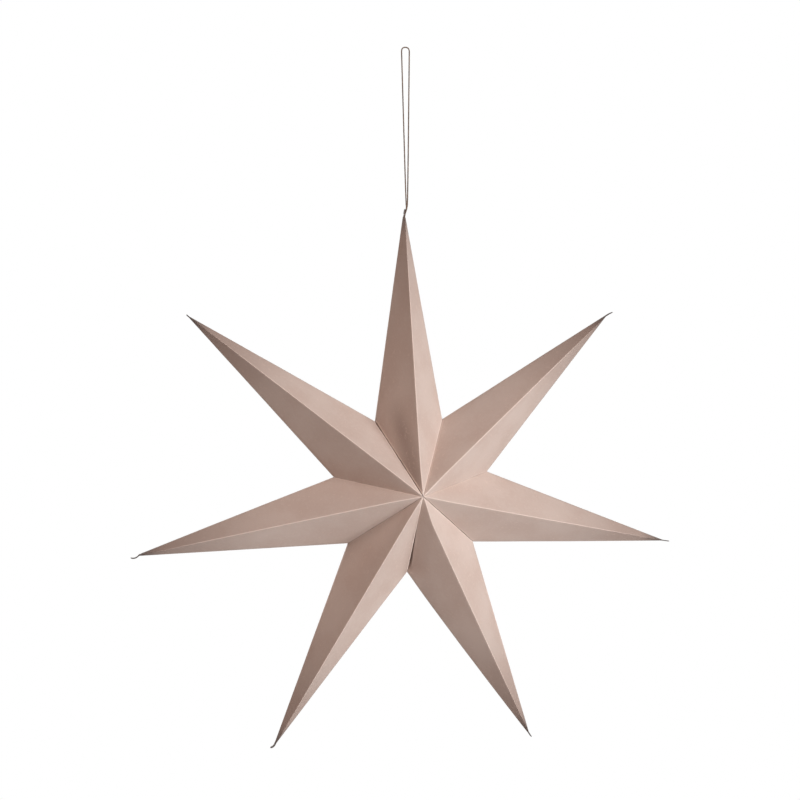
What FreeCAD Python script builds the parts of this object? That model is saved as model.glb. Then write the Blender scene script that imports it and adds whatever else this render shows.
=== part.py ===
import FreeCAD, Part
import math
import os

import Sketcher

# Seven-pointed paper star, hung from a doubled cord. Each ray is one hollow folded sheet: a ridge
# in front, a ridge behind, soft folds at both sides, glue flaps at its base and a pinched tip.
# The row frame has +Z up, the star's front towards -Y, and its origin inside the top of the loop.

doc = FreeCAD.newDocument("PaperStar")
sizes = doc.addObject("Spreadsheet::Sheet", "Sizes")

# Driving dimensions in millimetres and degrees.
COMMON_SIZES = [
    ("hang_drop", 476.0, "inside of the loop down to the star's centre"),
    ("half_depth", 75.0, "mid plane to the raised centre, front and back"),
    ("paper", 0.4, "thickness of the sheet"),
    ("side_radius", 12.0, "radius of a side fold at the star's axis"),
    ("tip_radius", 0.5, "radius of a side fold at the pinched tip"),
    ("flap_width", 12.0, "width of the glue flaps"),
    ("window_radius", 5.0, "inside corner where two flaps meet"),
    ("hub_gap", 1.0, "axis to the ends of the sheets"),
    ("tip_cut", 5.0, "the hollow ends this far short of the tip"),
    ("tip_half_depth", 3.5, "half the depth of a pinched tip"),
    ("narrow_length", 30.0, "length over which a ray flattens towards its pinch"),
    ("tongue_half_thickness", 0.5, "half the thickness of a pinched tip"),
    ("tongue_end_half_depth", 2.5, "half the depth of a tip's very end"),
    ("closing_gap", 0.8, "gap between the first and the last ray, filled by tape"),
    ("tape_width", 7.0, "width of a closing tape"),
    ("tape_length", 60.0, "length of a closing tape"),
    ("cord_diameter", 1.5, "thickness of the cord"),
    ("loop_radius", 4.3, "middle of the cord round the nail it hangs on"),
    ("knot_radius", 2.2, "widest radius of the knot"),
    ("knot_end_radius", 1.6, "radius of the knot's flat ends"),
    ("knot_height", 5.0, "length of the knot"),
    ("knot_clearance", 0.2, "room between the knot and the paper"),
    ("top_tip_cut", 9.6, "top ray: its tip stays open this far down"),
    ("top_tip_half_depth", 5.0, "top ray: half the depth of the open tip"),
    ("top_tongue_lean", 2.2, "top ray: the tongue leans right by this at its end"),
]

# One row for each ray, clockwise as the front is seen: reach from the star's centre, sideways lean
# of the tip, length of the pinched tongue, and its sideways bend at the middle and at the end.
RAYS = {
    "top": (304.0, -3.0, 9.0, 0.3, 1.0),
    "upper_right": (296.0, -9.5, 9.5, 0.7, 2.0),
    "right": (295.0, -6.0, 10.0, 0.0, -0.3),
    "lower_right": (299.0, -3.0, 7.0, -0.2, -0.7),
    "lower_left": (305.0, 18.0, 6.0, 0.2, 2.2),
    "left": (297.0, 5.5, 9.0, -2.0, -0.9),
    "upper_left": (302.0, 1.5, 5.0, 0.0, 0.2),
}

# One row for each glued seam, named by the ray before it: radius of the notch where two side
# folds meet, and how far the seam is turned from even spacing.
SEAMS = {
    "top": (86.0, -0.3),
    "upper_right": (88.5, -0.6),
    "right": (89.0, -0.4),
    "lower_right": (85.5, 2.0),
    "lower_left": (85.5, 0.1),
    "left": (83.5, -0.7),
    "upper_left": (84.5, 0.1),
}

RAY_NAMES = list(RAYS)
STEP = 360.0 / len(RAY_NAMES)
CLOSING_SEAM = "upper_left"


def add_size(row, name, value, note):
    sizes.set(f"A{row}", name)
    sizes.set(f"B{row}", str(value))
    sizes.setAlias(f"B{row}", name)
    sizes.set(f"C{row}", note)


def fill_sheet():
    rows = list(COMMON_SIZES)
    for ray, (reach, lean, tongue, bend, curl) in RAYS.items():
        rows.append((f"reach_{ray}", reach, "centre to tip"))
        rows.append((f"lean_{ray}", lean, "tip sideways of the ray's middle line"))
        rows.append((f"tongue_{ray}", tongue, "length of the pinched tip"))
        rows.append((f"bend_{ray}", bend, "sideways, at the middle of the pinched tip"))
        rows.append((f"curl_{ray}", curl, "sideways, at the end of the pinched tip"))
    for seam, (radius, shift) in SEAMS.items():
        rows.append((f"notch_{seam}", radius, "centre to the notch after this ray"))
        rows.append((f"shift_{seam}", shift, "seam after this ray, from even spacing"))
    for row, (name, value, note) in enumerate(rows, start=1):
        add_size(row, name, value, note)
    doc.recompute()


def size(name):
    return f"Sizes.{name}"


def number(expression):
    return float(sizes.evalExpression(expression))


# Cross sections of a ray: two ridges on the depth axis and a round fold at each side.
def ray_section(label, level, ridge, left, right, depth, radius):
    sketch = doc.addObject("Sketcher::SketchObject", label)
    sketch.setExpression("Placement.Base.x", ridge)
    sketch.setExpression("Placement.Base.z", level)
    r = number(radius)
    front = FreeCAD.Vector(0, -number(depth), 0)
    back = FreeCAD.Vector(0, number(depth), 0)
    right_centre = FreeCAD.Vector(number(right) - r, 0, 0)
    left_centre = FreeCAD.Vector(r - number(left), 0, 0)
    touch = math.acos(r / back.distanceToPoint(right_centre))
    turn = math.atan2(number(depth), right_centre.x) if right_centre.x else math.pi / 2
    right_angle = math.pi - turn - touch
    touch_left = math.acos(r / back.distanceToPoint(left_centre))
    turn_left = math.atan2(number(depth), -left_centre.x) if left_centre.x else math.pi / 2
    left_angle = math.pi - turn_left - touch_left

    def on_circle(centre, angle):
        return centre + FreeCAD.Vector(r * math.cos(angle), r * math.sin(angle), 0)

    up = FreeCAD.Vector(0, 0, 1)
    right_arc = Part.ArcOfCircle(Part.Circle(right_centre, up, r), -right_angle, right_angle)
    left_arc = Part.ArcOfCircle(Part.Circle(left_centre, up, r), math.pi - left_angle, math.pi + left_angle)
    sketch.addGeometry(Part.LineSegment(front, on_circle(right_centre, -right_angle)), False)
    sketch.addGeometry(right_arc, False)
    sketch.addGeometry(Part.LineSegment(on_circle(right_centre, right_angle), back), False)
    sketch.addGeometry(Part.LineSegment(back, on_circle(left_centre, math.pi - left_angle)), False)
    sketch.addGeometry(left_arc, False)
    sketch.addGeometry(Part.LineSegment(on_circle(left_centre, math.pi + left_angle), front), False)
    sketch.addConstraint(Sketcher.Constraint("Tangent", 0, 2, 1, 1))
    sketch.addConstraint(Sketcher.Constraint("Tangent", 1, 2, 2, 1))
    sketch.addConstraint(Sketcher.Constraint("Coincident", 2, 2, 3, 1))
    sketch.addConstraint(Sketcher.Constraint("Tangent", 3, 2, 4, 1))
    sketch.addConstraint(Sketcher.Constraint("Tangent", 4, 2, 5, 1))
    sketch.addConstraint(Sketcher.Constraint("Coincident", 5, 2, 0, 1))
    sketch.addConstraint(Sketcher.Constraint("PointOnObject", 0, 1, -2))
    sketch.addConstraint(Sketcher.Constraint("PointOnObject", 2, 2, -2))
    sketch.addConstraint(Sketcher.Constraint("PointOnObject", 1, 3, -1))
    sketch.addConstraint(Sketcher.Constraint("PointOnObject", 4, 3, -1))
    bound = [
        (Sketcher.Constraint("DistanceY", 0, 1, -1, 1, number(depth)), depth),
        (Sketcher.Constraint("DistanceY", -1, 1, 2, 2, number(depth)), depth),
        (Sketcher.Constraint("Radius", 1, r), radius),
        (Sketcher.Constraint("Radius", 4, r), radius),
        (Sketcher.Constraint("DistanceX", -1, 1, 1, 3, right_centre.x), f"({right}) - ({radius})"),
        (Sketcher.Constraint("DistanceX", 4, 3, -1, 1, -left_centre.x), f"({left}) - ({radius})"),
    ]
    for constraint, expression in bound:
        index = sketch.addConstraint(constraint)
        sketch.setExpression(f"Constraints[{index}]", expression)
    return sketch


def loft(label, sections):
    solid = doc.addObject("Part::Loft", label)
    solid.Sections = sections
    solid.Solid = True
    solid.Ruled = True
    return solid


def boolean(kind, label, base, tool):
    result = doc.addObject(f"Part::{kind}", label)
    result.Base = base
    result.Tool = tool
    return result


# The space between two seams, drawn upright and turned so that its width grows along the ray.
def seam_wedge(label, start, end, left_angle, right_angle, left_gap, right_gap, half_depth):
    wedge = doc.addObject("Part::Wedge", label)
    wedge.Placement = FreeCAD.Placement(
        FreeCAD.Vector(), FreeCAD.Rotation(FreeCAD.Vector(1, 0, 0), 90)
    )
    left_offset = f"({left_gap}) / cos({left_angle})"
    right_offset = f"({right_gap}) / cos({right_angle})"
    wedge.setExpression("Ymin", start)
    wedge.setExpression("Ymax", end)
    wedge.setExpression("Xmin", f"{left_offset} - ({start}) * tan({left_angle})")
    wedge.setExpression("X2min", f"{left_offset} - ({end}) * tan({left_angle})")
    wedge.setExpression("Xmax", f"({start}) * tan({right_angle}) - {right_offset}")
    wedge.setExpression("X2max", f"({end}) * tan({right_angle}) - {right_offset}")
    wedge.setExpression("Zmin", f"-({half_depth})")
    wedge.setExpression("Z2min", f"-({half_depth})")
    wedge.setExpression("Zmax", half_depth)
    wedge.setExpression("Z2max", half_depth)
    return wedge


# Depth at which a wall of paper is cut by the plane through the ridges.
def inner_depth(depth, width):
    return f"({depth}) - {size('paper')} * sqrt(({depth})^2 + ({width})^2) / ({width})"


def set_in_star(node, angle):
    node.Placement = FreeCAD.Placement(
        FreeCAD.Vector(0, 0, -1), FreeCAD.Rotation(FreeCAD.Vector(0, 1, 0), 1)
    )
    node.setExpression("Placement.Base.z", f"-{size('hang_drop')}")
    node.setExpression("Placement.Rotation.Angle", angle)


# One ray, standing upright at the origin before it is turned to its place.
def make_ray(ray):
    place = RAY_NAMES.index(ray)
    before = RAY_NAMES[place - 1]
    is_top = ray == "top"
    cut = size("top_tip_cut") if is_top else size("tip_cut")
    tip_depth = size("top_tip_half_depth") if is_top else size("tip_half_depth")
    reach = size(f"reach_{ray}")
    lean = size(f"lean_{ray}")
    tongue = size(f"tongue_{ray}")
    paper = size("paper")
    left_angle = f"({STEP / 2} - {size('shift_' + before)}) * 1 deg"
    right_angle = f"({STEP / 2} + {size('shift_' + ray)}) * 1 deg"
    notch_left = size(f"notch_{before}")
    notch_right = size(f"notch_{ray}")
    left = (
        f"({notch_left} * sin({left_angle}) + {lean}) * {reach}"
        f" / ({reach} - {notch_left} * cos({left_angle})) - {lean}"
    )
    right = (
        f"({notch_right} * sin({right_angle}) - {lean}) * {reach}"
        f" / ({reach} - {notch_right} * cos({right_angle})) + {lean}"
    )
    mean_width = f"(({left}) + ({right})) / 2"
    tip_left = f"({left}) * {cut} / {reach}"
    tip_right = f"({right}) * {cut} / {reach}"
    tip_width = f"({mean_width}) * {cut} / {reach}"
    tip_level = f"{reach} - {cut}"
    tip_ridge = f"{lean} * ({tip_level}) / {reach}"
    depth = size("half_depth")

    # The outside runs from the star's axis to the tip, and on through the bent, pinched tongue.
    base = ray_section(f"{ray}_base", "0", "0", left, right, depth, size("side_radius"))
    tip = ray_section(f"{ray}_tip", tip_level, tip_ridge, tip_left, tip_right, tip_depth, size("tip_radius"))
    sections = [base, tip]
    stations = [
        ("middle", 0.5, f"bend_{ray}", size("tip_half_depth")),
        ("end", 1.0, f"curl_{ray}", size("tongue_end_half_depth")),
    ]
    for part_name, share, sideways, section_depth in stations:
        level = f"{tip_level} + {share} * {tongue}"
        ridge = f"{lean} * ({level}) / {reach} + {size(sideways)}"
        half = size("tongue_half_thickness")
        round_edge = f"{half} * 0.8"
        sections.append(
            ray_section(f"{ray}_{part_name}", level, ridge, half, half, section_depth, round_edge)
        )
    outside = loft(f"{ray}_outside", sections)

    # The inside is the same form, one thickness of paper smaller, and ends at the pinch.
    inner_base = ray_section(
        f"{ray}_inner_base", "0", "0", f"({left}) - {paper}", f"({right}) - {paper}",
        inner_depth(depth, mean_width), f"{size('side_radius')} - {paper}",
    )
    narrow_cut = f"({cut} + {size('narrow_length')})"
    narrow_level = f"{reach} - {narrow_cut}"
    narrow_depth = (
        f"({tip_depth} + ({depth} - {tip_depth}) * {size('narrow_length')} / ({tip_level}))"
    )
    narrow_width = f"({mean_width}) * {narrow_cut} / {reach}"
    inner_narrow = ray_section(
        f"{ray}_inner_narrow", narrow_level, f"{lean} * ({narrow_level}) / {reach}",
        f"({left}) * {narrow_cut} / {reach} - {paper}",
        f"({right}) * {narrow_cut} / {reach} - {paper}",
        inner_depth(narrow_depth, narrow_width),
        f"{size('tip_radius')} - {paper} + ({size('side_radius')} - {size('tip_radius')})"
        f" * {size('narrow_length')} / ({tip_level})",
    )
    inner_tip = ray_section(
        f"{ray}_inner_tip", tip_level, tip_ridge, f"{tip_left} - {paper}", f"{tip_right} - {paper}",
        inner_depth(tip_depth, tip_width), f"{size('tip_radius')} - {paper}",
    )
    inside = loft(f"{ray}_inside", [inner_base, inner_narrow, inner_tip])

    # The window leaves two glue flaps along each seam, front and back, that meet at the notch.
    flap = size("flap_width")
    taper = f"{flap} * sqrt({depth}^2 + ({mean_width})^2)"
    window_sections = []
    for part_name, share in (("window_base", 0.0), ("window_top", 0.5)):
        level = f"{share} * {reach}"
        window_sections.append(
            ray_section(
                f"{ray}_{part_name}", level, f"{share} * {lean}",
                f"({left}) * {1 - share} - {taper} / {depth}",
                f"({right}) * {1 - share} - {taper} / {depth}",
                f"{depth} * {1 - share} - {taper} / ({mean_width})",
                size("window_radius"),
            )
        )
    window = loft(f"{ray}_window", window_sections)

    # Both are held between the seams; the closing seam keeps room for its tape.
    left_gap = f"{size('closing_gap')} / 2" if before == CLOSING_SEAM else "0"
    right_gap = f"{size('closing_gap')} / 2" if ray == CLOSING_SEAM else "0"
    far = f"{reach} + {tongue} + {cut}"
    start = size("hub_gap")
    room = f"{depth} + {flap}"
    seams = seam_wedge(
        f"{ray}_seams", start, far, left_angle, right_angle, left_gap, right_gap, room
    )
    inner_seams = seam_wedge(
        f"{ray}_inner_seams", f"{start} + 4 * {paper}", far, left_angle, right_angle,
        f"{left_gap} + {paper}", f"{right_gap} + {paper}", room,
    )
    body = boolean("Common", f"{ray}_body", outside, seams)
    hollow = boolean("Common", f"{ray}_hollow", inside, inner_seams)
    opening = boolean("Fuse", f"{ray}_opening", hollow, window)
    if is_top:
        opening = boolean("Fuse", f"{ray}_opening_and_mouth", opening, make_mouth(tip_level, tip_ridge))
    sheet = boolean("Cut", f"ray_{ray}", body, opening)
    set_in_star(sheet, f"{STEP * place}")
    return sheet


# The mouth at the top ray's tip: right of the tongue, the pinch is open and lets the cord out.
def make_mouth(tip_level, tip_ridge):
    mouth = doc.addObject("Part::Wedge", "cord_mouth")
    mouth.Placement = FreeCAD.Placement(
        FreeCAD.Vector(), FreeCAD.Rotation(FreeCAD.Vector(1, 0, 0), 90)
    )
    room = f"2 * {size('top_tip_half_depth')}"
    tongue_side = f"{tip_ridge} - {size('cord_diameter')} / 2 - {size('paper')} / 4"
    mouth.setExpression("Ymin", tip_level)
    mouth.setExpression("Ymax", f"{tip_level} + 2 * {size('tongue_top')}")
    mouth.setExpression("Xmin", tongue_side)
    mouth.setExpression("X2min", f"{tongue_side} + 2 * {size('top_tongue_lean')}")
    mouth.setExpression("Xmax", f"{tongue_side} + {room}")
    mouth.setExpression("X2max", f"{tongue_side} + {room}")
    mouth.setExpression("Zmin", f"-{room}")
    mouth.setExpression("Z2min", f"-{room}")
    mouth.setExpression("Zmax", room)
    mouth.setExpression("Z2max", room)
    return mouth


# Tape strips between the flaps of the closing seam, along the middle of each flap.
def make_tape(side):
    depth = size("half_depth")
    notch = size(f"notch_{CLOSING_SEAM}")
    seam_length = f"sqrt({depth}^2 + {notch}^2)"
    margin = f"({seam_length} - {size('tape_length')}) / 2"
    inset = f"({size('flap_width')} - {size('tape_width')}) / 2"
    if side == "back":
        inset = f"{inset} + {size('tape_width')}"
    forward = -1 if side == "front" else 1
    along_depth = f"{depth} / {seam_length}"
    along_ray = f"{notch} / {seam_length}"
    strip = doc.addObject("Part::Box", f"tape_strip_{side}")
    strip.Placement = FreeCAD.Placement(
        FreeCAD.Vector(1, 1, 1), FreeCAD.Rotation(FreeCAD.Vector(1, 0, 0), forward)
    )
    strip.setExpression("Length", size("closing_gap"))
    strip.setExpression("Width", size("tape_width"))
    strip.setExpression("Height", size("tape_length"))
    strip.setExpression("Placement.Rotation.Angle", f"{forward} * atan({depth} / {notch})")
    strip.setExpression("Placement.Base.x", f"-{size('closing_gap')} / 2")
    strip.setExpression(
        "Placement.Base.y",
        f"{forward} * ({depth} - {along_depth} * ({margin}) - {along_ray} * ({inset}))",
    )
    strip.setExpression(
        "Placement.Base.z", f"{along_ray} * ({margin}) - {along_depth} * ({inset})"
    )
    tape = doc.addObject("Part::Compound", f"closing_tape_{side}")
    tape.Links = [strip]
    seam_bearing = STEP * (RAY_NAMES.index(CLOSING_SEAM) + 0.5)
    set_in_star(tape, f"{seam_bearing} + {size('shift_' + CLOSING_SEAM)}")
    return tape


# The knot sits where the top ray's hollow is just wide enough for it.
def knot_level():
    shift = size(f"shift_{RAY_NAMES[0]}")
    angle = f"({STEP / 2} + {shift}) * 1 deg"
    notch = size("notch_top")
    reach = size("reach_top")
    half_width = f"({notch} * sin({angle}) * {reach} / ({reach} - {notch} * cos({angle})))"
    wall_slant = f"sqrt(1 + ({half_width} / {size('half_depth')})^2)"
    room = f"({size('knot_radius')} + {size('knot_clearance')} + {size('paper')})"
    return f"{reach} - {room} * {wall_slant} * {reach} / {half_width}"


def make_knot():
    profile = doc.addObject("Sketcher::SketchObject", "knot_profile")
    profile.Placement = FreeCAD.Placement(
        FreeCAD.Vector(), FreeCAD.Rotation(FreeCAD.Vector(1, 0, 0), 90)
    )
    half = number(size("knot_height")) / 2
    end = number(size("knot_end_radius"))
    widest = number(size("knot_radius"))
    low = FreeCAD.Vector(end, -half, 0)
    high = FreeCAD.Vector(end, half, 0)
    belly = FreeCAD.Vector(widest, 0, 0)
    axis_low = FreeCAD.Vector(0, -half, 0)
    axis_high = FreeCAD.Vector(0, half, 0)
    profile.addGeometry(Part.LineSegment(axis_low, low), False)
    profile.addGeometry(Part.Arc(low, belly, high), False)
    profile.addGeometry(Part.LineSegment(high, axis_high), False)
    profile.addGeometry(Part.LineSegment(axis_high, axis_low), False)
    profile.addGeometry(Part.Point(belly), True)
    for first, first_end, second, second_start in ((0, 2, 1, 1), (1, 2, 2, 1), (2, 2, 3, 1), (3, 2, 0, 1)):
        profile.addConstraint(
            Sketcher.Constraint("Coincident", first, first_end, second, second_start)
        )
    profile.addConstraint(Sketcher.Constraint("PointOnObject", 3, 1, -2))
    profile.addConstraint(Sketcher.Constraint("PointOnObject", 3, 2, -2))
    profile.addConstraint(Sketcher.Constraint("Horizontal", 0))
    profile.addConstraint(Sketcher.Constraint("Horizontal", 2))
    profile.addConstraint(Sketcher.Constraint("PointOnObject", 4, 1, -1))
    profile.addConstraint(Sketcher.Constraint("PointOnObject", 4, 1, 1))
    bound = [
        (Sketcher.Constraint("DistanceY", 3, 2, -1, 1, half), f"{size('knot_height')} / 2"),
        (Sketcher.Constraint("DistanceY", -1, 1, 3, 1, half), f"{size('knot_height')} / 2"),
        (Sketcher.Constraint("DistanceX", 0, 1, 0, 2, end), size("knot_end_radius")),
        (Sketcher.Constraint("DistanceX", 2, 2, 2, 1, end), size("knot_end_radius")),
        (Sketcher.Constraint("DistanceX", -1, 1, 4, 1, widest), size("knot_radius")),
    ]
    for constraint, expression in bound:
        index = profile.addConstraint(constraint)
        profile.setExpression(f"Constraints[{index}]", expression)
    knot = doc.addObject("Part::Revolution", "cord_knot")
    knot.Source = profile
    knot.Axis = FreeCAD.Vector(0, 0, 1)
    knot.Angle = 360
    knot.Solid = True
    level = knot_level()
    knot.setExpression("Placement.Base.x", f"{size('lean_top')} * ({level}) / {size('reach_top')}")
    knot.setExpression("Placement.Base.z", f"({level}) - {size('hang_drop')}")
    return knot


# The cord: one length, from the knot out of the tip, round the nail and back. Its points are
# chosen by hand, and the two corners at the nail take the nail's own radius.
def cord_route():
    knot_top = number(f"({knot_level()}) + {size('knot_height')} / 2 - {size('hang_drop')}")
    radius = number(size("loop_radius"))
    top = number(size("cord_diameter")) / 2
    return [
        (-3.0, -0.8, knot_top),
        (-3.0, -0.8, -180.9),
        (-0.15, -0.8, -172.5),
        (-0.9, -0.5, -165.0),
        (-radius, 0.0, top),
        (radius, 0.0, top),
        (1.3, 0.5, -165.0),
        (0.3, 0.8, -172.6),
        (-3.0, 0.8, -180.9),
        (-3.0, 0.8, knot_top),
    ]


def cord_path(points, nail_corners, nail_radius):
    points = [FreeCAD.Vector(*point) for point in points]
    edges = []
    start = points[0]
    for index in range(1, len(points) - 1):
        before, corner, after = points[index - 1:index + 2]
        arriving = (corner - before).normalize()
        leaving = (after - corner).normalize()
        half_turn = arriving.getAngle(leaving) / 2
        shorter = min(corner.distanceToPoint(before), corner.distanceToPoint(after))
        radius = 0.45 * shorter / math.tan(half_turn)
        if index in nail_corners:
            radius = nail_radius
        reach = radius * math.tan(half_turn)
        first = corner - arriving * reach
        last = corner + leaving * reach
        inward = (leaving - arriving).normalize()
        middle = corner + inward * (radius / math.cos(half_turn) - radius)
        edges.append(Part.LineSegment(start, first).toShape())
        edges.append(Part.Arc(first, middle, last).toShape())
        start = last
        print("cord bend", index, "radius", round(radius, 1), "mm")
    edges.append(Part.LineSegment(start, points[-1]).toShape())
    return Part.Wire(edges)


def make_cord():
    points = cord_route()
    path = cord_path(points, (4, 5), number(size("loop_radius")))
    radius = number(size("cord_diameter")) / 2
    start = FreeCAD.Vector(*points[0])
    ahead = FreeCAD.Vector(*points[1]) - start
    ring = Part.Wire([Part.Circle(start, ahead, radius).toShape()])
    cord = doc.addObject("Part::Feature", "hanging_cord")
    cord.Shape = path.makePipeShell([ring], True, True)
    print("cord length", round(path.Length, 1), "mm")
    print("cord volume", round(cord.Shape.Volume, 1), "section by length",
          round(math.pi * radius ** 2 * path.Length, 1))
    return cord


def check_objects():
    for item in doc.Objects:
        if "Invalid" in item.State or "Error" in item.State:
            raise RuntimeError(f"{item.Name} failed: {item.State}")


def write_nodes(nodes):
    os.makedirs("parts", exist_ok=True)
    for name, node in nodes.items():
        shape = node.Shape
        if shape.isNull() or not shape.isValid():
            raise RuntimeError(f"{name} is not a valid solid")
        node.Label = name
        shape.exportStep(f"parts/{name}.step")
        print(name, len(shape.Solids), "solid,", len(shape.Faces), "faces,", round(shape.Volume, 1), "mm3")


fill_sheet()
nodes = {f"ray_{ray}": make_ray(ray) for ray in RAY_NAMES}
nodes["closing_tape_front"] = make_tape("front")
nodes["closing_tape_back"] = make_tape("back")
nodes["cord_knot"] = make_knot()
nodes["hanging_cord"] = make_cord()
doc.recompute()
check_objects()
write_nodes(nodes)
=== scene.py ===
import math

import bmesh
import bpy
from mathutils import Matrix, Vector


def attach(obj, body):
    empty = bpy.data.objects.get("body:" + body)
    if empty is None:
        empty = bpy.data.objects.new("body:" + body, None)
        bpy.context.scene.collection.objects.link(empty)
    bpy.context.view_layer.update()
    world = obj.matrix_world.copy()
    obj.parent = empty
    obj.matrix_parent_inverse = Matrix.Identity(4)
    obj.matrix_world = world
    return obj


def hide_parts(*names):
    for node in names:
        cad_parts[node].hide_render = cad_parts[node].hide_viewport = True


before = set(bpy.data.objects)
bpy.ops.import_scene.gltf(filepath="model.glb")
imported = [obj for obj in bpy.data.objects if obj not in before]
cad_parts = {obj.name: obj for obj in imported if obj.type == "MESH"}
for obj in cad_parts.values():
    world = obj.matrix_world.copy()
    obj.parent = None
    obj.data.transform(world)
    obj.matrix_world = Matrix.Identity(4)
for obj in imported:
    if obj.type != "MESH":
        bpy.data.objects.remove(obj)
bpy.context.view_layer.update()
print("frame loaded,", len(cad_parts), "nodes")

# How the star hangs: metres, from the nail at the top of the loop
star = {
    "centre": Vector((0, 0, -0.476)),
    "halfDepth": 0.075,
}

# The seven folded sheets, clockwise from the top as the front is seen. Lean, bend and curl are
# sideways moves of the tip and of the pinched tongue that ends it, sway bows the front ridge, and
# worn is how pale the creases at the left and right seams are; the last number is how much shade
# is painted onto the paper towards the tip.
rays = {
    "top": {
        "reach": 0.304, "lean": -0.003, "tongue": 0.009, "bend": 0.0003, "curl": 0.001,
        "sway": -0.0009, "worn": (0.95, 0.35), "handled": 0.5,
    },
    "upper_right": {
        "reach": 0.296, "lean": -0.0095, "tongue": 0.0095, "bend": 0.0007, "curl": 0.002,
        "sway": -0.0008, "worn": (0.3, 0.25), "handled": 0.9,
    },
    "right": {
        "reach": 0.295, "lean": -0.006, "tongue": 0.01, "bend": 0, "curl": -0.0003,
        "sway": 0.0006, "worn": (0.15, 0.35), "handled": 0.65,
    },
    "lower_right": {
        "reach": 0.299, "lean": -0.003, "tongue": 0.007, "bend": -0.0002, "curl": -0.0007,
        "sway": 0.0034, "worn": (0.3, 0.15), "handled": 0.8,
    },
    "lower_left": {
        "reach": 0.305, "lean": 0.018, "tongue": 0.006, "bend": 0.0002, "curl": 0.0022,
        "sway": 0.0005, "worn": (1, 0.15), "handled": 0.75,
    },
    "left": {
        "reach": 0.297, "lean": 0.0055, "tongue": 0.009, "bend": -0.002, "curl": -0.0009,
        "sway": 0.0009, "worn": (0.15, 0.25), "handled": 0.9,
    },
    "upper_left": {
        "reach": 0.302, "lean": 0.0015, "tongue": 0.005, "bend": 0, "curl": 0.0002,
        "sway": 0.0004, "worn": (0.25, 0.6), "handled": 0.9,
    },
}

# The seam after each ray: centre to notch, turn from even spacing in degrees, and clearance
seams = {
    "top": {"notch": 0.086, "turn": -0.3, "gap": 0.0001},
    "upper_right": {"notch": 0.0885, "turn": -0.6, "gap": 0.0001},
    "right": {"notch": 0.089, "turn": -0.4, "gap": 0.0003},
    "lower_right": {"notch": 0.0855, "turn": 2.0, "gap": 0.0001},
    "lower_left": {"notch": 0.0855, "turn": 0.1, "gap": 0.0001},
    "left": {"notch": 0.0835, "turn": -0.7, "gap": 0.0001},
    "upper_left": {"notch": 0.0845, "turn": 0.1, "gap": 0.0004},
}

# How a sheet is folded
sheet = {
    "paper": 0.0004,
    "sideRadius": 0.012,      # soft side fold, at the star's axis
    "ridgeRadius": 0.0006,
    "flapWidth": 0.012,
    "tipCut": 0.005,          # the hollow ends this far short of the tip
    "tipHalfDepth": 0.0035,
    "tongueHalfWidth": 0.0005,
    "endHalfDepth": 0.0025,
    "topTipCut": 0.0096,      # the top ray stays open for the cord
    "topTipHalfDepth": 0.005,
    "sideSteps": 8,
    "ridgeSteps": 4,
    "faceCuts": 19,
    "lengthSteps": 46,
    "tongueSteps": 6,
    "smoothAngle": 35,        # degrees, past which an edge stays sharp
    # Painted shade darkens the paper over this length from the tip.
    "tipShadeLength": 0.16,    # from the tip
}

# Waves of the sheet. They die out this near to its creases and its tip, where it is stiff, and a
# share of them is left at the side folds.
cockle = {
    "height": 0.0011,         # from hollow to crest
    "length": 0.05,
    "fromRidge": 0.014,
    "fromSeam": 0.012,
    "fromSide": 0.03,
    "fromTip": 0.07,
    "sideShare": 0.25,
}

# How the sway of a front ridge spreads over its two walls, and rises and falls along the ray
swaySpread = {"walls": 0.9, "rise": 0.12, "fall": 0.7}

# The cord's mouth in the top tip
mouth = {"besideRidge": 0.00085, "lean": 0.0022}

# Where a front wall bows away from its seam. It starts and is highest at these shares of the way
# from the centre to the notch, and dies out over the width.
bowCurve = 1.5                # the higher, the later it rises
bows = {
    "lower_right": {"side": "right", "height": 0.0036, "start": 0.3, "peak": 0.92, "width": 0.018},
    "upper_left": {"side": "right", "height": 0.0006, "start": 0.8, "peak": 0.97, "width": 0.004},
    "top": {"side": "left", "height": 0.0004, "start": 0.8, "peak": 0.97, "width": 0.004},
}

# A long band of painted shade down the top ray's left wall. It runs outwards from the star's
# centre, ever farther from the ridge.
paintedBand = {
    "ray": "top", "besideRidge": 0.003, "spread": 0.15, "halfWidth": 0.0115,
    "start": -0.02, "end": 0.112, "fade": 0.045,
}

rayNames = list(rays)
step = 360 / len(rays)        # degrees from ray to ray
sides = {"left": -1, "right": 1}
tiny = 1e-6                   # lengths below this count as none


def deselectAll():
    if bpy.context.mode != "OBJECT":
        bpy.ops.object.mode_set(mode="OBJECT")
    bpy.ops.object.select_all(action="DESELECT")


def pick(kind, test):  # in edit mode, selects the verts, edges or faces that pass the test
    bpy.ops.mesh.select_mode(type={"verts": "VERT", "edges": "EDGE", "faces": "FACE"}[kind])
    bpy.ops.mesh.select_all(action="DESELECT")
    mesh = bmesh.from_edit_mesh(bpy.context.object.data)
    for part in getattr(mesh, kind):
        if test(part):
            part.select_set(True)
    mesh.select_flush_mode()
    bmesh.update_edit_mesh(bpy.context.object.data)


def ease(value):  # 0 to 1 with soft ends
    value = min(max(value, 0), 1)
    return value * value * (3 - 2 * value)


# Where the two flat walls of a fold would meet, if its round edge were sharp
def sharpCorner(width):
    flat = 1 - (sheet["sideRadius"] / star["halfDepth"]) ** 2
    centre = width - sheet["sideRadius"]
    spread = centre ** 2 - flat * (centre ** 2 - sheet["sideRadius"] ** 2)
    return (centre + math.sqrt(spread)) / flat


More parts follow.
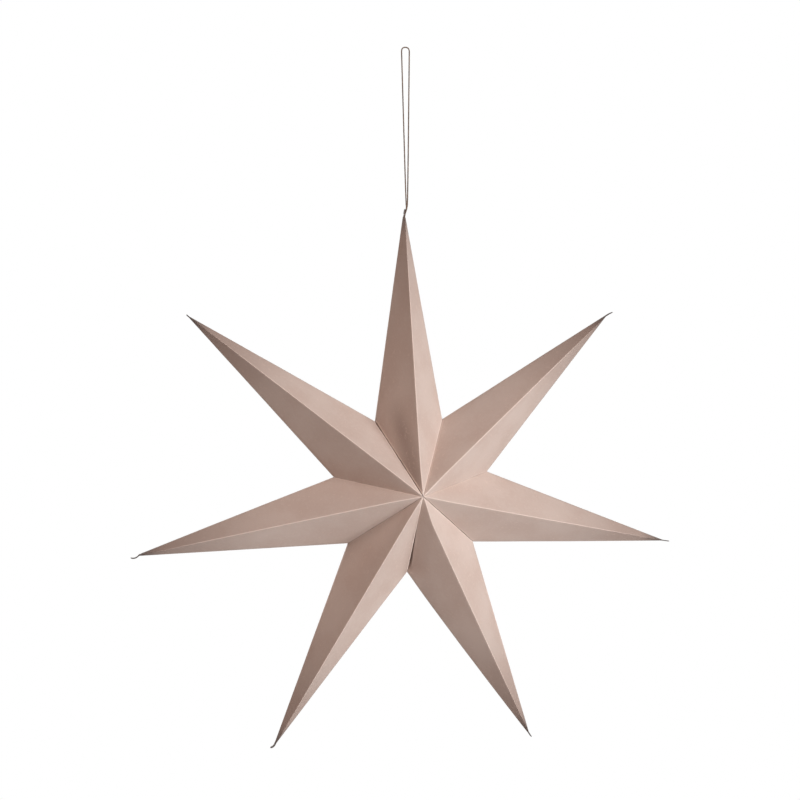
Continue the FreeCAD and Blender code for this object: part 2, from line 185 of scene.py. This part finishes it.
# Everything that the shaping of one ray needs, worked out from its row and its two seams
def rayPlan(name):
    place = rayNames.index(name)
    ray = rays[name]
    plan = {**ray, "name": name, "bearing": math.radians(step * place), "top": name == "top"}
    for (side, sign), seam in zip(sides.items(), (seams[rayNames[place - 1]], seams[name])):
        angle = math.radians(step / 2 + sign * seam["turn"])
        lean = -sign * ray["lean"]
        sideways = seam["notch"] * math.sin(angle) + lean
        rise = ray["reach"] - seam["notch"] * math.cos(angle)
        plan[side] = sideways * ray["reach"] / rise - lean
        plan[side + "Angle"], plan[side + "Gap"], plan[side + "Notch"] = angle, seam["gap"], seam["notch"]
    plan["halfWidth"] = (plan["left"] + plan["right"]) / 2
    plan["cut"] = sheet["topTipCut"] if plan["top"] else sheet["tipCut"]
    plan["tipDepth"] = sheet["topTipHalfDepth"] if plan["top"] else sheet["tipHalfDepth"]
    plan["tipLevel"] = ray["reach"] - plan["cut"]
    return plan


def ridgeAt(plan, level):  # sideways place of the ridges at that level of an upright ray
    return plan["lean"] * level / plan["reach"]


def depthAt(plan, level):
    share = min(level / plan["tipLevel"], 1)
    return star["halfDepth"] + (plan["tipDepth"] - star["halfDepth"]) * share


# Levels of the sheet from the axis to the end of the tongue: (level, ridge, width share, depth share)
def stations(plan):
    found = []
    for index in range(sheet["lengthSteps"] + 1):
        level = plan["tipLevel"] * index / sheet["lengthSteps"]
        width = 1 - level / plan["reach"]
        found.append((level, ridgeAt(plan, level), width, depthAt(plan, level) / star["halfDepth"]))
    tipWidth = found[-1][2]
    tongueWidth = sheet["tongueHalfWidth"] / plan["halfWidth"]
    for index in range(1, sheet["tongueSteps"] + 1):
        share = index / sheet["tongueSteps"]
        level = plan["tipLevel"] + plan["tongue"] * share
        # through the bend at the middle to the curl at the end
        sway = 4 * plan["bend"] * share * (1 - share) + plan["curl"] * share * (2 * share - 1)
        width = tongueWidth + (tipWidth - tongueWidth) * max(0, 1 - 2 * share) ** 2
        depth = plan["tipDepth"] + (sheet["endHalfDepth"] - plan["tipDepth"]) * share
        found.append((level, ridgeAt(plan, level) + sway, width, depth / star["halfDepth"]))
    return found


# The four-sided cross section, with round side folds and creased ridges
def drawSection(plan):
    bpy.ops.mesh.primitive_circle_add(vertices=4, radius=1, fill_type="NOTHING", enter_editmode=True)
    bpy.ops.transform.resize(value=(1, star["halfDepth"], 1))
    for side, sign in sides.items():
        pick("verts", lambda v: v.co.x * sign > 0.5)
        bpy.ops.transform.resize(value=(sharpCorner(plan[side]), 1, 1), center_override=(0, 0, 0))
    sideHalf = math.atan2(star["halfDepth"], plan["halfWidth"])
    nearRidge = plan["halfWidth"] / 2
    pick("verts", lambda v: abs(v.co.x) > nearRidge)
    bpy.ops.mesh.bevel(
        offset=sheet["sideRadius"] / math.tan(sideHalf), segments=sheet["sideSteps"], affect="VERTICES"
    )
    pick("verts", lambda v: abs(v.co.x) < sheet["ridgeRadius"])
    bpy.ops.mesh.bevel(
        offset=sheet["ridgeRadius"] / math.tan(math.pi / 2 - sideHalf),
        segments=sheet["ridgeSteps"], affect="VERTICES",
    )
    pick("edges", lambda e: e.calc_length() > nearRidge)
    bpy.ops.mesh.subdivide(number_cuts=sheet["faceCuts"])


def raiseSheet(plan):  # draws the section out along the ray, level by level
    bpy.ops.mesh.select_mode(type="EDGE")
    bpy.ops.mesh.select_all(action="SELECT")
    levels = stations(plan)
    for (low, lowRidge, lowWidth, lowDepth), (level, ridge, width, depth) in zip(levels, levels[1:]):
        bpy.ops.mesh.extrude_region_move(
            TRANSFORM_OT_translate={"value": (ridge - lowRidge, 0, level - low)}
        )
        bpy.ops.transform.resize(
            value=(width / lowWidth, depth / lowDepth, 1), center_override=(ridge, 0, level)
        )
    bpy.ops.mesh.edge_face_add()


def seamDistance(plan, side, point):  # how far a point of an upright ray lies inside that seam
    angle = plan[side + "Angle"]
    return point.z * math.sin(angle) - sides[side] * point.x * math.cos(angle)


def cutSeams(plan):
    for side, sign in sides.items():
        angle = plan[side + "Angle"]
        outward = Vector((sign * math.cos(angle), 0, -math.sin(angle)))
        bpy.ops.mesh.select_all(action="SELECT")
        bpy.ops.mesh.bisect(plane_co=-outward * plan[side + "Gap"], plane_no=outward, clear_outer=True)


def foldFlaps(plan):  # the glue flaps turn in along each seam, and narrow to the star's axis
    for side, sign in sides.items():
        gap = plan[side + "Gap"]
        notch = plan[side + "Notch"]
        slant = math.hypot(notch, star["halfDepth"])
        inner = notch * star["halfDepth"] / (slant + star["halfDepth"])  # middle of the seam's triangle
        angle = plan[side + "Angle"]
        middle = Vector((sign * math.sin(angle), 0, math.cos(angle))) * inner
        pick(
            "edges",
            lambda e: e.is_boundary
            and all(abs(seamDistance(plan, side, v.co) - gap) < 10 * tiny for v in e.verts),
        )
        share = 1 - sheet["flapWidth"] / inner
        bpy.ops.mesh.extrude_region_move()
        bpy.ops.transform.resize(value=(share, share, share), center_override=middle)


def openMouth(plan):  # right of the tongue, the top ray's pinch is open and lets the cord out
    start = Vector((ridgeAt(plan, plan["tipLevel"]) - mouth["besideRidge"], 0, plan["tipLevel"]))
    outward = Vector((1, 0, -mouth["lean"] / plan["tongue"])).normalized()

    def onTongue(face):
        return face.calc_center_median().z > start.z + tiny

    pick("faces", onTongue)
    bpy.ops.mesh.bisect(plane_co=start, plane_no=outward)
    pick("faces", lambda f: onTongue(f) and (f.calc_center_median() - start).dot(outward) > 0)
    bpy.ops.mesh.delete(type="FACE")


# Where one point of an upright sheet lies: its distances from the ridge, seams, tip and side fold
def survey(plan, point):
    level = point.z
    sideways = point.x - ridgeAt(plan, level)
    fromTip = plan["reach"] - level
    shrink = 1 - level / plan["reach"]
    width = plan["right"] if sideways > 0 else plan["left"]
    gaps = {side: seamDistance(plan, side, point) - plan[side + "Gap"] for side in sides}
    seam = min(gaps.values())
    drop = depthAt(plan, level) - abs(point.y)
    slope = depthAt(plan, level) / max(sharpCorner(width) * shrink, tiny)
    return {
        "ridgeDistance": math.hypot(sideways, max(drop, 0)),
        "seamDistance": seam + max(drop - slope * abs(sideways), 0),  # grows on into the flap
        "tipDistance": fromTip,
        "seamWear": plan["worn"][0 if gaps["left"] < gaps["right"] else 1],
        "handled": plan["handled"] * ease(1 - fromTip / sheet["tipShadeLength"]),
        "sideways": sideways,
        "side": math.hypot(width * shrink - abs(sideways), point.y),
        "seam": seam,
        "gaps": gaps,
        "ridgeShare": max(seam, 0) / max(seam + abs(sideways) * swaySpread["walls"], tiny),
        "along": math.hypot(point.x, level),
        "front": point.y < 0,
    }


def paintWeights(piece, name, weights):
    group = piece.vertex_groups.new(name=name)
    for index, weight in enumerate(weights):
        group.add([index], weight, "REPLACE")
    return group.name


def shapeWith(piece, kind, name, **settings):  # adds a modifier and applies it
    modifier = piece.modifiers.new(name, kind)
    for key, value in settings.items():
        setattr(modifier, key, value)
    bpy.ops.object.modifier_apply(modifier=modifier.name)


def push(piece, name, weights, distance):  # moves the sheet sideways, as far as its weights allow
    group = paintWeights(piece, name, weights)
    shapeWith(piece, "DISPLACE", name, direction="X", mid_level=0, strength=distance, vertex_group=group)


def bowWeight(plan, bow, spot):
    along = spot["along"] / plan[bow["side"] + "Notch"]
    if not spot["front"] or along > 1:
        return 0
    rise = max((along - bow["start"]) / (bow["peak"] - bow["start"]), 0)
    fall = ease((1 - along) / (1 - bow["peak"]))
    return min(rise, 1) ** bowCurve * fall * (1 - ease(spot["gaps"][bow["side"]] / bow["width"]))


# Where the band of painted shade lies on the top ray's left wall
def paintedBandWeight(plan, spot):
    if plan["name"] != paintedBand["ray"] or not spot["front"] or spot["sideways"] > 0:
        return 0
    middle = paintedBand["besideRidge"] + paintedBand["spread"] * spot["along"]
    ends = min(spot["along"] - paintedBand["start"], paintedBand["end"] - spot["along"]) / paintedBand["fade"]
    return ease(1 - abs(spot["sideways"] + middle) / paintedBand["halfWidth"]) * ease(ends)


def swayWeight(plan, spot):
    if not spot["front"]:
        return 0
    share = min(spot["along"] / plan["reach"], 1)
    return spot["ridgeShare"] * ease(share / swaySpread["rise"]) * (1 - share) ** swaySpread["fall"]


def softness(plan, spot):  # how freely the sheet waves there
    fromSide = ease(spot["side"] / cockle["fromSide"])
    return (
        ease(spot["ridgeDistance"] / cockle["fromRidge"])
        * ease(spot["seam"] / cockle["fromSeam"])
        * (cockle["sideShare"] + (1 - cockle["sideShare"]) * fromSide)
        * ease((spot["tipDistance"] - plan["cut"]) / cockle["fromTip"])
    )


def foldRay(name):
    plan = rayPlan(name)
    deselectAll()
    drawSection(plan)
    raiseSheet(plan)
    cutSeams(plan)
    if plan["top"]:
        openMouth(plan)
    foldFlaps(plan)
    bpy.ops.mesh.select_all(action="SELECT")
    bpy.ops.mesh.normals_make_consistent(inside=False)
    bpy.ops.object.mode_set(mode="OBJECT")
    piece = bpy.context.object
    piece.name = name + "_sheet"
    spots = [survey(plan, v.co) for v in piece.data.vertices]
    for spot in spots:
        spot["rubbed"] = paintedBandWeight(plan, spot)
    # Two of these carry painted shade into the paper: darker towards the tips, and a band on the top ray.
    for key in ("ridgeDistance", "seamDistance", "tipDistance", "seamWear", "handled", "rubbed"):
        attribute = piece.data.attributes.new(key, "FLOAT", "POINT")
        attribute.data.foreach_set("value", [spot[key] for spot in spots])
    push(piece, "sway", [swayWeight(plan, spot) for spot in spots], plan["sway"])
    if name in bows:
        bow = bows[name]
        inward = -sides[bow["side"]] * bow["height"]
        push(piece, "bow", [bowWeight(plan, bow, spot) for spot in spots], inward)
    soft = paintWeights(piece, "soft", [softness(plan, spot) for spot in spots])
    piece.rotation_euler = (0, plan["bearing"], 0)
    piece.location = star["centre"]
    bpy.ops.object.transform_apply(location=True, rotation=True, scale=True)
    waves = bpy.data.textures.new("cockle", "CLOUDS")
    waves.noise_scale = cockle["length"]
    shapeWith(piece, "DISPLACE", "cockle", texture=waves, strength=cockle["height"], vertex_group=soft)
    shapeWith(piece, "SOLIDIFY", "paper", thickness=sheet["paper"], use_even_offset=True)
    bpy.ops.object.shade_smooth_by_angle(angle=math.radians(sheet["smoothAngle"]))
    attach(piece, "root")
    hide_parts("ray_" + name)
    return piece


# A shader's socket that can be added, subtracted and multiplied as plain numbers can
class Socket:
    def __init__(self, paint, socket):
        self.paint = paint
        self.socket = socket

    def __add__(self, other):
        return self.paint.math("ADD", self, other)

    def __radd__(self, other):
        return self.paint.math("ADD", other, self)

    def __sub__(self, other):
        return self.paint.math("SUBTRACT", self, other)

    def __rsub__(self, other):
        return self.paint.math("SUBTRACT", other, self)

    def __mul__(self, other):
        return self.paint.math("MULTIPLY", self, other)

    def __rmul__(self, other):
        return self.paint.math("MULTIPLY", other, self)


class Finish:  # the nodes of one material, or of the world
    def __init__(self, owner):
        owner.use_nodes = True
        self.owner = owner
        self.nodes = owner.node_tree.nodes
        self.links = owner.node_tree.links
        self.nodes.clear()

    def node(self, kind, settings=None, sockets=None, out=0):
        made = self.nodes.new(kind)
        for key, value in (settings or {}).items():
            setattr(made, key, value)
        for key, value in (sockets or {}).items():
            if isinstance(value, Socket):
                self.links.new(value.socket, made.inputs[key])
            else:
                made.inputs[key].default_value = value
        return Socket(self, made.outputs[out]) if made.outputs else None

    def math(self, operation, first, second):
        return self.node("ShaderNodeMath", {"operation": operation}, {0: first, 1: second})

    def attribute(self, name):
        return self.node("ShaderNodeAttribute", {"attribute_name": name}, out="Fac")

    def place(self):
        return self.node("ShaderNodeTexCoord", out="Object")

    def noise(self, where, scale, detail, roughness=0.5):
        return self.node(
            "ShaderNodeTexNoise",
            sockets={"Vector": where, "Scale": scale, "Detail": detail, "Roughness": roughness},
        )

    def band(self, value, start, end, low=0, high=1):  # low before start, high after end
        return self.node(
            "ShaderNodeMapRange", {"interpolation_type": "SMOOTHSTEP"},
            {"Value": value, "From Min": start, "From Max": end, "To Min": low, "To Max": high},
        )

    def mix(self, share, first, second):
        return self.node(
            "ShaderNodeMix", {"data_type": "RGBA"}, {"Factor": share, 6: first, 7: second}, out=2
        )

    def mixShaders(self, share, first, second):
        return self.node("ShaderNodeMixShader", sockets={0: share, 1: first, 2: second})

    def bump(self, height, strength, distance):
        return self.node(
            "ShaderNodeBump", sockets={"Height": height, "Strength": strength, "Distance": distance}
        )

    def close(self, shader, output="ShaderNodeOutputMaterial"):
        self.node(output, sockets={"Surface": shader})
        return self.owner

    def surface(self, tone, roughness, bump=None):
        sockets = {"Base Color": tone, "Roughness": roughness}
        if bump is not None:
            sockets["Normal"] = bump
        return self.close(self.node("ShaderNodeBsdfPrincipled", sockets=sockets))


def newFinish(name):
    return Finish(bpy.data.materials.new(name))


def colour(red, green, blue):  # written as the eye reads it, 0 to 255
    def linear(value):
        value = value / 255
        return value / 12.92 if value <= 0.04045 else ((value + 0.055) / 1.055) ** 2.4
    return (linear(red), linear(green), linear(blue), 1)


paperFinish = {
    "rose": colour(203, 186, 177),
    "deep": colour(196, 176, 166),
    "shadeTone": colour(150, 130, 121),    # painted shade, near the tips and in the band on the top ray
    "worn": colour(222, 204, 195),    # along the ridges
    "cracked": colour(244, 226, 216),  # along the seams, where the flaps turn in
    "fibre": colour(222, 205, 196),
    "deepShade": colour(84, 74, 70),     # painted shade at the very tips
    "cloudScale": 26,
    "cloudShare": 0.6,                # of the rose and deep clouds, against the fine mottle
    "cloudEdges": (0.36, 0.64),
    "mottleScale": 240,
    "fleckEdges": (0.56, 0.7),
    "fleckShare": 0.3,
    # How dark the band of painted shade on the top ray is
    "bandShadeShare": 0.68,
    "deepShadeLength": 0.034,
    "deepShadeShare": 0.85,
    "ridgeLine": 0.0009,
    "ridgeFray": 0.0006,
    "ridgeFade": 0.12,                # the pale line along a ridge fades out towards the tip
    "ridgeLeft": 0.1,                 # to this share
    "seamLine": 0.0011,
    "seamFray": 0.0005,
    "lineEdges": (0.4, 1.5),          # of a line's width, between which it fades
    "lineShare": 0.85,
    "frayScale": 700,
    "roughness": 0.85,
    "bumpStrength": 0.15,
    "bumpDepth": 0.0004,
}


def creaseLine(paint, look, crease, fray):  # how pale the paper is by that crease, with ragged edges
    width = look[crease + "Line"]
    distance = paint.attribute(crease + "Distance") + (fray - 0.5) * look[crease + "Fray"]
    inner, outer = (edge * width for edge in look["lineEdges"])
    return paint.band(distance, inner, outer, look["lineShare"], 0)


def rosePaper():
    look = paperFinish
    paint = newFinish("rose_paper")
    where = paint.place()
    cloud = paint.noise(where, look["cloudScale"], 3)
    mottle = paint.noise(where, look["mottleScale"], 3, 0.6)
    fray = paint.noise(where, look["frayScale"], 2)
    blotch = cloud * look["cloudShare"] + mottle * (1 - look["cloudShare"])
    tone = paint.mix(paint.band(blotch, *look["cloudEdges"]), look["rose"], look["deep"])
    # Painted shade: the paper darkens towards each tip.
    handled = paint.attribute("handled")
    tone = paint.mix(handled, tone, look["shadeTone"])
    # Painted shade: a soft dark band down the top ray's left wall.
    tone = paint.mix(paint.attribute("rubbed") * look["bandShadeShare"], tone, look["shadeTone"])
    flecks = paint.band(mottle, *look["fleckEdges"], 0, look["fleckShare"])
    tone = paint.mix(flecks * (1 - handled), tone, look["fibre"])
    tip = paint.attribute("tipDistance")
    fade = paint.band(tip, look["ridgeLeft"] * look["ridgeFade"], look["ridgeFade"], look["ridgeLeft"], 1)
    onSeam = creaseLine(paint, look, "seam", fray) * paint.attribute("seamWear")
    tone = paint.mix(onSeam, tone, look["cracked"])
    tone = paint.mix(creaseLine(paint, look, "ridge", fray) * fade, tone, look["worn"])
    # Painted shade: the very tips turn dark.
    tone = paint.mix(paint.band(tip, 0, look["deepShadeLength"], look["deepShadeShare"], 0), tone, look["deepShade"])
    bump = paint.bump(mottle, look["bumpStrength"], look["bumpDepth"])
    return paint.surface(tone, look["roughness"], bump)


# The cord repeats the points that its tube has, with one more on each long straight run
cord = {
    "diameter": 0.0015,
    "route": [
        (-0.0030, -0.0008, -0.18956),
        (-0.0030, -0.0008, -0.1809),
        (-0.00015, -0.0008, -0.1725),
        (-0.0009, -0.0005, -0.165),
        (-0.00414, -0.00003, -0.009),
        (-0.0043, 0, 0.00075),
        (0.0043, 0, 0.00075),
        (0.00413, 0.00003, -0.009),
        (0.0013, 0.0005, -0.165),
        (0.0003, 0.0008, -0.1726),
        (-0.0030, 0.0008, -0.1809),
        (-0.0030, 0.0008, -0.18956),
    ],
    "smoothness": 24,
    "yarns": 3,
    "bundle": 2.1547,         # width of three round yarns laid together, over one yarn's
    "twist": 0.0046,          # length of one turn
    "turnSteps": 12,
    "tinge": colour(122, 100, 84),
    "shade": colour(88, 70, 58),
    "shadeScale": 180,
    "shadeEdges": (0.35, 0.65),
    "dust": colour(168, 148, 130),
    "dustScale": 2600,
    "dustEdges": (0.5, 0.72),
    "dustShare": 0.7,
    "roughness": 0.9,
    "bumpStrength": 0.5,
    "bumpDepth": 0.0002,
}


def addObject(name, data):
    added = bpy.data.objects.new(name, data)
    bpy.context.scene.collection.objects.link(added)
    return added


def smoothLine(name, route, resolution):  # points read from the route's own spline
    curve = bpy.data.curves.new(name, "CURVE")
    curve.dimensions = "3D"
    spline = curve.splines.new("NURBS")
    spline.points.add(len(route) - 1)
    for point, place in zip(spline.points, route):
        point.co = (*place, 1)
    spline.order_u = 3
    spline.use_endpoint_u = True
    spline.resolution_u = resolution
    holder = addObject(name, curve)
    bpy.context.view_layer.update()
    mesh = bpy.data.meshes.new_from_object(holder)
    line = [v.co.copy() for v in mesh.vertices]
    bpy.data.objects.remove(holder)
    bpy.data.meshes.remove(mesh)
    return line


def evenLine(line, gap):  # the same line with its points a set distance apart
    lengths = [0]
    for a, b in zip(line, line[1:]):
        lengths.append(lengths[-1] + (b - a).length)
    count = round(lengths[-1] / gap)
    even, segment = [], 0
    for index in range(count + 1):
        along = lengths[-1] * index / count
        while segment < len(line) - 2 and lengths[segment + 1] < along:
            segment += 1
        share = (along - lengths[segment]) / (lengths[segment + 1] - lengths[segment])
        even.append(line[segment].lerp(line[segment + 1], share))
    return even


def layYarns(name, line, gap):  # twists the yarns round the line and joins them in one mesh
    frames = []
    side = Vector((1, 0, 0))
    for index, point in enumerate(line):
        ahead = line[min(index + 1, len(line) - 1)] - line[max(index - 1, 0)]
        ahead.normalize()
        side = (side - ahead * side.dot(ahead)).normalized()
        frames.append((point, side.copy(), ahead.cross(side)))
    deselectAll()
    yarnRadius = cord["diameter"] / 2 / cord["bundle"]
    for yarn in range(cord["yarns"]):
        curve = bpy.data.curves.new(name, "CURVE")
        curve.dimensions = "3D"
        curve.bevel_depth = yarnRadius
        curve.bevel_resolution = 1
        curve.use_fill_caps = True
        spline = curve.splines.new("POLY")
        spline.points.add(len(frames) - 1)
        for index, (point, across, over) in enumerate(frames):
            turn = 2 * math.pi * (index * gap / cord["twist"] + yarn / cord["yarns"])
            offset = (across * math.cos(turn) + over * math.sin(turn)) * (cord["diameter"] / 2 - yarnRadius)
            spline.points[index].co = (*(point + offset), 1)
        piece = addObject(name, curve)
        piece.select_set(True)
        bpy.context.view_layer.objects.active = piece
    bpy.ops.object.convert(target="MESH")
    bpy.ops.object.join()
    piece = bpy.context.object
    piece.name = name
    bpy.ops.object.shade_smooth()
    return piece


def hangCord():
    gap = cord["twist"] / cord["turnSteps"]
    line = evenLine(smoothLine("cordLine", cord["route"], cord["smoothness"]), gap)
    piece = layYarns("hanging_twine", line, gap)
    length = sum((b - a).length for a, b in zip(line, line[1:]))
    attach(piece, "root")
    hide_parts("hanging_cord")
    print("cord length", round(length, 4))
    return piece


def twineFinish():
    paint = newFinish("brown_cord")
    where = paint.place()
    fibres = paint.noise(where, cord["dustScale"], 3, 0.6)
    shaded = paint.band(paint.noise(where, cord["shadeScale"], 2), *cord["shadeEdges"])
    tone = paint.mix(shaded, cord["tinge"], cord["shade"])
    tone = paint.mix(paint.band(fibres, *cord["dustEdges"], 0, cord["dustShare"]), tone, cord["dust"])
    bump = paint.bump(fibres, cord["bumpStrength"], cord["bumpDepth"])
    return paint.surface(tone, cord["roughness"], bump)


# The double-sided tapes inside the closing seam
tape = {
    "pale": colour(226, 222, 214),
    "yellowed": colour(212, 207, 197),
    "hazeScale": 300,
    "roughness": 0.45,
}


def tapeFinish():
    paint = newFinish("white_tape")
    haze = paint.noise(paint.place(), tape["hazeScale"], 2)
    tone = paint.mix(haze, tape["pale"], tape["yellowed"])
    return paint.surface(tone, tape["roughness"])


def dress(piece, material):
    piece.data.materials.clear()
    piece.data.materials.append(material)


# The camera, as the photograph was taken
lens = {
    "distance": 1.6,          # to the star's middle plane, along the axis
    "azimuth": -11.02,
    "elevation": 0.25,
    "roll": 0.45,
    "starRight": 0.00955,     # the star's centre in the picture, from the axis
    "starUp": -0.09866,
    "focal": 67.07,           # millimetres, as the sensor is
    "sensor": 36,
    "nearest": 0.01,          # what is closer isn't drawn
}


def towards(azimuth, elevation):  # direction from the star, in degrees as a camera is placed
    turn, rise = math.radians(azimuth), math.radians(elevation)
    return Vector((math.sin(turn) * math.cos(rise), -math.cos(turn) * math.cos(rise), math.sin(rise)))


def placeCamera():
    camera = addObject("camera", bpy.data.cameras.new("camera"))
    bpy.context.scene.camera = camera
    camera.data.sensor_width = lens["sensor"]
    camera.data.lens = lens["focal"]
    camera.data.clip_start = lens["nearest"]
    back = towards(lens["azimuth"], lens["elevation"])
    turn, roll = math.radians(lens["azimuth"]), math.radians(lens["roll"])
    level = Vector((math.cos(turn), math.sin(turn), 0))
    upright = back.cross(level)
    right = level * math.cos(roll) - upright * math.sin(roll)
    up = level * math.sin(roll) + upright * math.cos(roll)
    place = star["centre"] - right * lens["starRight"] - up * lens["starUp"] + back * lens["distance"]
    camera.matrix_world = Matrix.Translation(place) @ Matrix((right, up, back)).transposed().to_4x4()


# Studio light: white from the key and the back, and a fill that is warm from the paper's own rose.
# Azimuth and elevation are the camera's, seen from the star.
white = (1, 1, 1)
warm = (1, 0.78, 0.68)
lamps = {
    "key": {"azimuth": 33, "elevation": 8, "size": 1.2, "watts": 54, "tint": white},
    "top": {"azimuth": -10, "elevation": 40, "size": 1.2, "watts": 12, "tint": warm},
    "side": {"azimuth": -72, "elevation": 10, "size": 1.2, "watts": 8, "tint": warm},
    "back": {"azimuth": 200, "elevation": 15, "size": 1.4, "watts": 44, "tint": white},
}
studio = {
    "lampDistance": 2.4,
    "ambient": 0.1,
    "floorLevel": -1.25,
    "floorRadius": 1.4,
    "floorWhite": 0.72,
    "floorEdge": (0.4, 0.97),  # shares of the radius, between which it turns into the background
    "floorGlow": 0.6,          # how much of the background it shows in its middle
}


def hangLamps():
    for name, lamp in lamps.items():
        back = towards(lamp["azimuth"], lamp["elevation"])
        light = bpy.data.lights.new(name, "AREA")
        light.shape = "DISK"
        light.size = lamp["size"]
        light.energy = lamp["watts"]
        light.color = lamp["tint"]
        holder = addObject(name, light)
        holder.location = star["centre"] + back * studio["lampDistance"]
        holder.rotation_euler = back.to_track_quat("Z", "Y").to_euler()
        holder.visible_camera = False


def seenDirectly(paint):  # 1 for rays that show the background itself
    camera, glossy, through = (
        paint.node("ShaderNodeLightPath", out=ray)
        for ray in ("Is Camera Ray", "Is Glossy Ray", "Is Transmission Ray")
    )
    return paint.math("MAXIMUM", paint.math("MAXIMUM", camera, glossy), through)


def paintWorld():
    world = bpy.data.worlds.new("studio")
    bpy.context.scene.world = world
    paint = Finish(world)
    ambient = paint.node(
        "ShaderNodeBackground", sockets={"Color": (*warm, 1), "Strength": studio["ambient"]}
    )
    backdrop = paint.node("ShaderNodeBackground", sockets={"Color": (*white, 1)})
    paint.close(paint.mixShaders(seenDirectly(paint), ambient, backdrop), "ShaderNodeOutputWorld")


def layFloor():
    deselectAll()
    radius = studio["floorRadius"]
    bpy.ops.mesh.primitive_circle_add(
        vertices=96, radius=radius, fill_type="NGON", location=(0, 0, studio["floorLevel"])
    )
    floor = bpy.context.object
    floor.name = "floor"
    paint = newFinish("floor")
    pale = paint.node("ShaderNodeBsdfDiffuse", sockets={"Color": (*[studio["floorWhite"]] * 3, 1)})
    backdrop = paint.node("ShaderNodeEmission", sockets={"Color": (*white, 1)})
    reach = paint.node("ShaderNodeVectorMath", {"operation": "LENGTH"}, {0: paint.place()}, out="Value")
    start, end = (share * radius for share in studio["floorEdge"])
    share = paint.band(reach, start, end, studio["floorGlow"], 1) * seenDirectly(paint)
    dress(floor, paint.close(paint.mixShaders(share, pale, backdrop)))


bpy.context.scene.view_settings.view_transform = "Standard"
placeCamera()
hangLamps()
paintWorld()
layFloor()
print("camera, lamps and floor are set")

paperMaterial = rosePaper()
for rayName in rayNames:
    dress(foldRay(rayName), paperMaterial)
    print("folded", rayName)

twineMaterial = twineFinish()
dress(hangCord(), twineMaterial)
dress(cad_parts["cord_knot"], twineMaterial)
print("cord hung")

tapeMaterial = tapeFinish()
for nodeName in ("closing_tape_front", "closing_tape_back"):
    dress(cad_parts[nodeName], tapeMaterial)
print("tapes and knot dressed")
